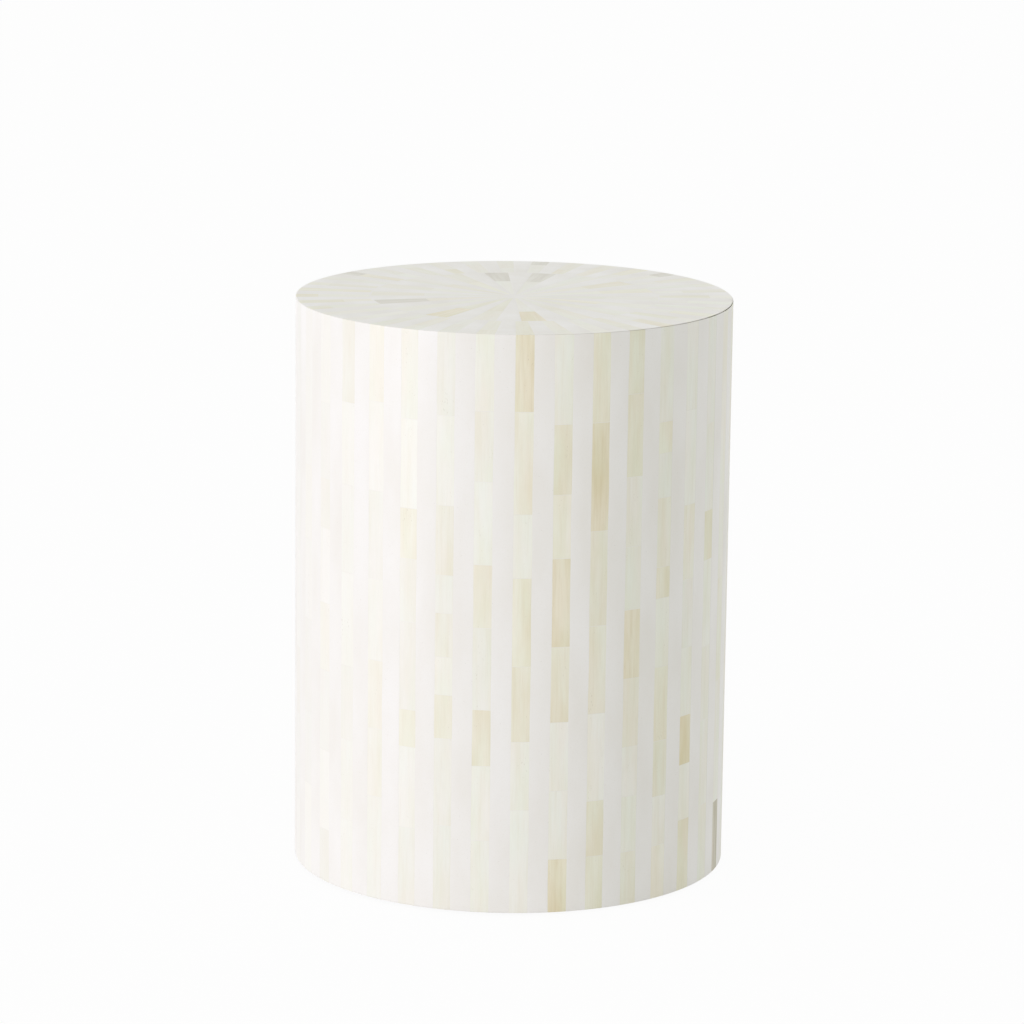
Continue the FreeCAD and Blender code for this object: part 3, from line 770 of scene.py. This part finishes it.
def wall_joint_loop(facing, height):
    """The end of a bar of resin between two slats of a column."""
    radius = WALL_RADIUS - JOINT_SINK - LEVEL_SPREAD - FACE_WAVE
    left = -SLAT_HALF + side_wave(facing, -1, height)
    right = SLAT_HALF + side_wave(facing, 1, height)
    places = [left + (right - left) * k / JOINT_STEPS for k in range(JOINT_STEPS + 1)]
    front = [place(facing, across, math.sqrt(radius ** 2 - across ** 2), height) for across in places]
    return front + [place(facing, right, SLAT_BACK, height), place(facing, left, SLAT_BACK, height)]


def add_wall_joints(mesh, facings):
    """The resin that fills the joints between the ends of the slats."""
    slats = [slat for slats in WALL_SOLIDS.values() for slat in slats]
    for facing in facings:
        column = [slat for slat in slats if abs(turn_between(slat.facing, facing)) < SAME_COLUMN]
        column.sort(key=lambda slat: slat.low)
        for lower, upper in zip(column, column[1:]):
            add_bar(mesh, wall_joint_loop(facing, lower.high), wall_joint_loop(facing, upper.low))


def make_wall_resin(material):
    """The wall resin: one sheet round the drum, and the fill between the slats."""
    facings = column_facings()
    mesh = wall_sheet_mesh(facings)
    add_wall_joints(mesh, facings)
    finish_mesh(mesh, "wall_resin_sheet", material, "white_resin", "wall_resin")


# Inlay of the seat

def make_seat_bone(materials):
    """The rays of the seat, one piece of the scene for each tone."""
    for tone in TONES:
        plates = Plates()
        for ray in SEAT_SOLIDS[tone]:
            add_ray_piece(plates, ray, f"seat {piece_mark(ray)}")
        name, node = f"seat_rays_{tone}", f"seat_bone_{tone}"
        finish_mesh(plates.mesh, name, materials[tone], f"bone_{tone}", node)


def seat_rays():
    """The whole rays of the seat, inner and outer, each put together from its pieces."""
    groups = {}
    for piece in (piece for pieces in SEAT_SOLIDS.values() for piece in pieces):
        groups.setdefault(round(piece.facing / SAME_RAY), []).append(piece)
    rays = []
    for pieces in groups.values():
        spread = math.atan(pieces[0].half_high / pieces[0].high)
        near = min(piece.low for piece in pieces)
        far = max(piece.high for piece in pieces)
        rays.append(Ray(pieces[0].facing, spread, near, far))
    inner = sorted(ray for ray in rays if ray.far < WALL_RADIUS - AT_EDGE)
    outer = sorted(ray for ray in rays if ray.far >= WALL_RADIUS - AT_EDGE)
    return inner, outer


def ray_at(rays, facing):
    """The ray that covers a facing, or None."""
    for ray in rays:
        if abs(turn_between(facing, ray.facing)) < ray.spread:
            return ray
    return None


def straight_end(rays, distance, facing):
    """How far out the straight end of the rays, at a distance from the axis, lies along a facing."""
    turns = [abs(turn_between(facing, ray.facing)) for ray in rays]
    nearest = min(range(len(rays)), key=turns.__getitem__)
    return distance / math.cos(min(turns[nearest], rays[nearest].spread))


def seat_drop(rays, facing, out):
    """How far the resin falls away beside the rays."""
    drop = 0.0
    for ray in rays:
        turn = turn_between(facing, ray.facing)
        if abs(turn) > ray.spread + BESIDE_RAY:
            continue
        across, along = out * math.sin(abs(turn)), out * math.cos(turn)
        from_side = across * math.cos(ray.spread) - along * math.sin(ray.spread)
        distance = max(from_side, ray.near - along, along - ray.far, 0.0)
        drop = max(drop, eased(distance, EDGE_ROUND, EDGE_REACH))
    return drop


def band_lines(rays):
    """The lines of resin that run out between rays: a facing, and how far beside it each line lies."""
    near = rays[0].near
    pitch = 2 * math.pi / len(rays)
    lines = []
    for ray in rays:
        lines += [(ray.facing, 0.0), (ray.facing + pitch / 2, 0.0)]
        for side in (-1, 1):
            lines.append((ray.facing + side * (ray.spread + pitch / 2) / 2, 0.0))
            for beside in (0.0, EDGE_REACH / 3, EDGE_REACH):
                lines.append((ray.facing + side * ray.spread, side * beside))
    return sorted(lines, key=lambda line: (line[0] + line[1] / near) % (2 * math.pi))


def before_edge(out):
    """Places on the resin just before an edge of the bone."""
    return [out - 2 * EDGE_REACH, out - EDGE_REACH, out - EDGE_REACH / 3]


def after_edge(out):
    """Places on the resin just after an edge of the bone."""
    return [out + EDGE_REACH / 3, out + EDGE_REACH, out + 2 * EDGE_REACH]


def seat_distances(rays, facing):
    """The distances from the axis at which the lines round the axis cross a facing."""
    near, far = rays[0].near, rays[0].far
    start = straight_end(rays, near, facing)
    at_rim = far > WALL_RADIUS - AT_EDGE
    end = seat_end(facing) if at_rim else straight_end(rays, far, facing)
    step = (end - start) / round((far - near) / SEAT_STEP)
    reach = RIM_REACH if at_rim else EDGE_REACH
    along = stations(start, end, EDGE_REACH, reach, step)
    return before_edge(start) + along + ([] if at_rim else after_edge(end))


def seat_ring(mesh, rays):
    """A ring of resin with an opening for every ray; returns its points, line by line."""
    lines = []
    for facing, beside in band_lines(rays):
        line = []
        for out in seat_distances(rays, facing):
            turn = facing + beside / max(out, rays[0].near)
            drop = max(seat_drop(rays, turn, out), eased(seat_end(turn) - out, RIM_ROUND, RIM_REACH))
            flat = place(turn, 0, out, RIM_HEIGHT)
            line.append(mesh.verts.new(flat - Vector((0, 0, drop + face_wave(flat)))))
        lines.append(line)
    for line, following in zip(lines, lines[1:] + lines[:1]):
        for k in range(len(line) - 1):
            corners = (line[k], line[k + 1], following[k + 1], following[k])
            if cell_is_resin(rays, corners):
                mesh.faces.new(corners)
    return lines


def cell_is_resin(rays, corners):
    """Whether a cell of the seat's upper face is resin and not bone."""
    middle = sum((corner.co for corner in corners), Vector()) / len(corners)
    facing, out = math.atan2(middle.x, -middle.y), math.hypot(middle.x, middle.y)
    ray = ray_at(rays, facing)
    if ray is None:
        return True
    along = out * math.cos(turn_between(facing, ray.facing))
    return not ray.near < along < ray.far


def stitch(mesh, inside, outside):
    """Triangles between two rings of points round the axis, whose counts differ."""
    def turns(ring):
        found = [math.atan2(vert.co.x, -vert.co.y) % (2 * math.pi) for vert in ring]
        return found + [found[0] + 2 * math.pi]

    inside_turns, outside_turns = turns(inside), turns(outside)
    i, j = 0, 0
    while i < len(inside) or j < len(outside):
        first, second = inside[i % len(inside)], outside[j % len(outside)]
        if j == len(outside) or (i < len(inside) and inside_turns[i + 1] <= outside_turns[j + 1]):
            i += 1
            third = inside[i % len(inside)]
        else:
            j += 1
            third = outside[j % len(outside)]
        mesh.faces.new((first, second, third))


def add_hub(mesh, inner, edge):
    """The resin in the middle of the seat, inside the tips of the inner rays."""
    out = inner[0].near / 2
    pitch = math.pi / len(inner)
    turns = sorted((inner[0].facing + k * pitch) % (2 * math.pi) for k in range(2 * len(inner)))
    flats = [place(turn, 0, out, RIM_HEIGHT) for turn in turns]
    ring = [mesh.verts.new(flat - Vector((0, 0, face_wave(flat)))) for flat in flats]
    middle = Vector((0, 0, RIM_HEIGHT))
    centre = mesh.verts.new(middle - Vector((0, 0, face_wave(middle))))
    for vert, following in zip(ring, ring[1:] + ring[:1]):
        mesh.faces.new((centre, vert, following))
    stitch(mesh, ring, edge)


def seat_joint_loop(facing, spread, out):
    """The end of a bar of resin between two pieces of a ray."""
    level = RIM_HEIGHT - JOINT_SINK - LEVEL_SPREAD - FACE_WAVE
    half = out * spread
    corners = ((-half, SEAT_BACK), (half, SEAT_BACK), (half, level), (-half, level))
    return [place(facing, across, out, height) for across, height in corners]


def add_seat_joints(mesh):
    """The resin that fills the joint between the two pieces of each ray."""
    pieces = sorted(piece for pieces in SEAT_SOLIDS.values() for piece in pieces)
    for near, far in zip(pieces, pieces[1:]):
        if abs(turn_between(near.facing, far.facing)) > SAME_RAY:
            continue
        near, far = sorted((near, far), key=lambda piece: piece.low)
        spread = far.half_high / far.high
        loops = [seat_joint_loop(far.facing, spread, out) for out in (near.high, far.low)]
        add_bar(mesh, *loops)


def close_sheet(mesh, mitre_start):
    """Gives the seat resin its under face and its sides, which lean inwards to a mitre at the rim."""
    upper, border = list(mesh.faces), [edge for edge in mesh.edges if edge.is_boundary]
    thickness = RIM_HEIGHT - SEAT_BACK
    under = {}
    for vert in list(mesh.verts):
        out = math.hypot(vert.co.x, vert.co.y)
        scale = 1.0
        if out > mitre_start:
            end = seat_end(math.atan2(vert.co.x, -vert.co.y))
            scale = 1 - thickness * (out - mitre_start) / (end - mitre_start) / out
        under[vert] = mesh.verts.new((vert.co.x * scale, vert.co.y * scale, SEAT_BACK))
    for face in upper:
        mesh.faces.new([under[vert] for vert in reversed(face.verts)])
    for edge in border:
        first, second = edge.verts
        mesh.faces.new((first, second, under[second], under[first]))


def make_seat_resin(material):
    """The seat resin: one sheet with an opening for every ray, mitred at the rim."""
    mesh = bmesh.new()
    inner, outer = seat_rays()
    inner_lines, outer_lines = seat_ring(mesh, inner), seat_ring(mesh, outer)
    add_hub(mesh, inner, [line[0] for line in inner_lines])
    stitch(mesh, [line[-1] for line in inner_lines], [line[0] for line in outer_lines])
    loose = [vert for vert in mesh.verts if not vert.link_faces]
    bmesh.ops.delete(mesh, geom=loose, context="VERTS")
    close_sheet(mesh, outer[0].near)
    add_seat_joints(mesh)
    finish_mesh(mesh, "seat_resin_sheet", material, "white_resin", "seat_resin")


# The plain pieces inside and underneath

ALONG_X, ALONG_Y, ALONG_Z = (0.06, 1.0, 1.0), (1.0, 0.06, 1.0), (1.0, 1.0, 0.05)
RING_GRAIN = (0.08, 1.0, 1.0)
# The wooden pieces: the material's name, its pale and deep colour, the grain's stretch, and roughness.
WOODS = {
    "seat_board": ("board_seat", (196, 163, 122), (164, 128, 88), ALONG_Y, 0.62),
    "base_board": ("board_base", (190, 157, 117), (156, 121, 83), ALONG_X, 0.62),
    "former": ("framing_ring", (214, 184, 142), (186, 150, 104), RING_GRAIN, 0.66),
    "batten": ("framing_post", (218, 189, 146), (189, 152, 105), ALONG_Z, 0.66),
    "skin": ("bent_ply", (206, 174, 131), (171, 135, 93), ALONG_Z, 0.64),
}


def dress_plain_pieces():
    """Gives every node that isn't inlay the finish of the first kind that its name holds."""
    finishes = {"screws": steel_material(), "glide": nylon_material()}
    finishes.update({kind: wood_material(*look) for kind, look in WOODS.items()})
    for name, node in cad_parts.items():
        if "bone" in name or "resin" in name:
            continue
        kind = next(kind for kind in finishes if kind in name)
        node.data.materials.clear()
        node.data.materials.append(finishes[kind])


# Room, light and camera

FLOOR_SIZE = 40.0
FLOOR_DROP = 0.2 * MM
FLOOR_SHADE = 0.05
FLOOR_ROUGHNESS = 0.9
AMBIENT = 0.80
AMBIENT_COLOUR = (0.99, 1.0, 0.978, 1)
KEY_COLOUR = (0.95, 0.91, 1.0)
WHITE = (1, 1, 1, 1)
KEY_FACING = math.radians(-56)
KEY_RISE = math.radians(5.5)
KEY_DISTANCE = 6.0
KEY_SIZE = 1.4
KEY_POWER = 125.0


def make_floor():
    """A pale floor: white to the camera and in reflections, apart from the share that shows the shadow."""
    data = bpy.data.meshes.new("floor")
    half = FLOOR_SIZE / 2
    sides = ((-half, -half), (half, -half), (half, half), (-half, half))
    data.from_pydata([(x, y, -FLOOR_DROP) for x, y in sides], [], [(0, 1, 2, 3)])
    surface = Surface("floor_white")
    surface.put(surface.shader.inputs["Base Color"], linear(*FLOOR_COLOUR))
    surface.put(surface.shader.inputs["Roughness"], FLOOR_ROUGHNESS)
    surface.put(surface.shader.inputs["Specular IOR Level"], 0.0)
    path = surface.node("ShaderNodeLightPath")
    direct = surface.math("MAXIMUM", path.outputs["Is Camera Ray"], path.outputs["Is Glossy Ray"])
    direct = surface.math("MAXIMUM", direct, path.outputs["Is Transmission Ray"])
    white = surface.node("ShaderNodeEmission", {"Color": WHITE, "Strength": 1.0})
    share = surface.math("MULTIPLY", direct, 1 - FLOOR_SHADE)
    shaders = {0: share, 1: surface.shader.outputs[0], 2: white.outputs[0]}
    mixed = surface.node("ShaderNodeMixShader", shaders)
    output = surface.tree.nodes["Material Output"]
    surface.put(output.inputs["Surface"], mixed.outputs[0])
    data.materials.append(surface.material)
    floor = bpy.data.objects.new("floor", data)
    bpy.context.scene.collection.objects.link(floor)


def make_world():
    """An even white room, pure white to the camera and in reflections."""
    world = bpy.data.worlds.new("white_room")
    bpy.context.scene.world = world
    world.use_nodes = True
    tree = world.node_tree
    tree.nodes.clear()
    path = tree.nodes.new("ShaderNodeLightPath")
    ambient = tree.nodes.new("ShaderNodeBackground")
    ambient.inputs["Color"].default_value = AMBIENT_COLOUR
    ambient.inputs["Strength"].default_value = AMBIENT
    white = tree.nodes.new("ShaderNodeBackground")
    white.inputs["Color"].default_value = WHITE
    white.inputs["Strength"].default_value = 1.0
    mixed = tree.nodes.new("ShaderNodeMixShader")
    output = tree.nodes.new("ShaderNodeOutputWorld")
    direct = path.outputs["Is Camera Ray"]
    for kind in ("Is Glossy Ray", "Is Transmission Ray"):
        either = tree.nodes.new("ShaderNodeMath")
        either.operation = "MAXIMUM"
        tree.links.new(direct, either.inputs[0])
        tree.links.new(path.outputs[kind], either.inputs[1])
        direct = either.outputs[0]
    tree.links.new(direct, mixed.inputs[0])
    tree.links.new(ambient.outputs[0], mixed.inputs[1])
    tree.links.new(white.outputs[0], mixed.inputs[2])
    tree.links.new(mixed.outputs[0], output.inputs["Surface"])


def make_key_light():
    """A soft round lamp at the left, a little in front of the stool and low."""
    light = bpy.data.lights.new("key", "AREA")
    light.shape = "DISK"
    light.size = KEY_SIZE
    light.energy = KEY_POWER
    light.color = KEY_COLOUR
    lamp = bpy.data.objects.new("key", light)
    middle = Vector((0, 0, RIM_HEIGHT / 2))
    out = KEY_DISTANCE * math.cos(KEY_RISE)
    lamp.location = middle + place(KEY_FACING, 0, out, KEY_DISTANCE * math.sin(KEY_RISE))
    lamp.rotation_euler = (middle - lamp.location).to_track_quat("-Z", "Y").to_euler()
    bpy.context.scene.collection.objects.link(lamp)


CAMERA_PLACE = (0.0, -3.5106, 1.0585)
CAMERA_PITCH = math.radians(12.441)
CAMERA_ROLL = math.radians(0.692)
CAMERA_LENS = 157.18
CAMERA_SENSOR = 36.0


def make_camera():
    """The photograph's view: from in front, a little above, turned slightly about the line of sight."""
    data = bpy.data.cameras.new("camera")
    data.sensor_fit = "HORIZONTAL"
    data.sensor_width = CAMERA_SENSOR
    data.lens = CAMERA_LENS
    camera = bpy.data.objects.new("camera", data)
    ahead = Vector((0, math.cos(CAMERA_PITCH), -math.sin(CAMERA_PITCH)))
    level = ahead.cross(Vector((0, 0, 1))).normalized()
    upright = level.cross(ahead)
    right = math.cos(CAMERA_ROLL) * level + math.sin(CAMERA_ROLL) * upright
    up = math.cos(CAMERA_ROLL) * upright - math.sin(CAMERA_ROLL) * level
    turn = Matrix((right, up, -ahead)).transposed()
    camera.matrix_world = Matrix.Translation(CAMERA_PLACE) @ turn.to_4x4()
    bpy.context.scene.collection.objects.link(camera)
    bpy.context.scene.camera = camera


bone = {tone: bone_material(tone) for tone in TONES}
resin = resin_material()
make_wall_bone(bone)
make_wall_resin(resin)
make_seat_bone(bone)
make_seat_resin(resin)
dress_plain_pieces()
make_floor()
make_world()
make_key_light()
make_camera()
bpy.context.scene.view_settings.view_transform = "Standard"
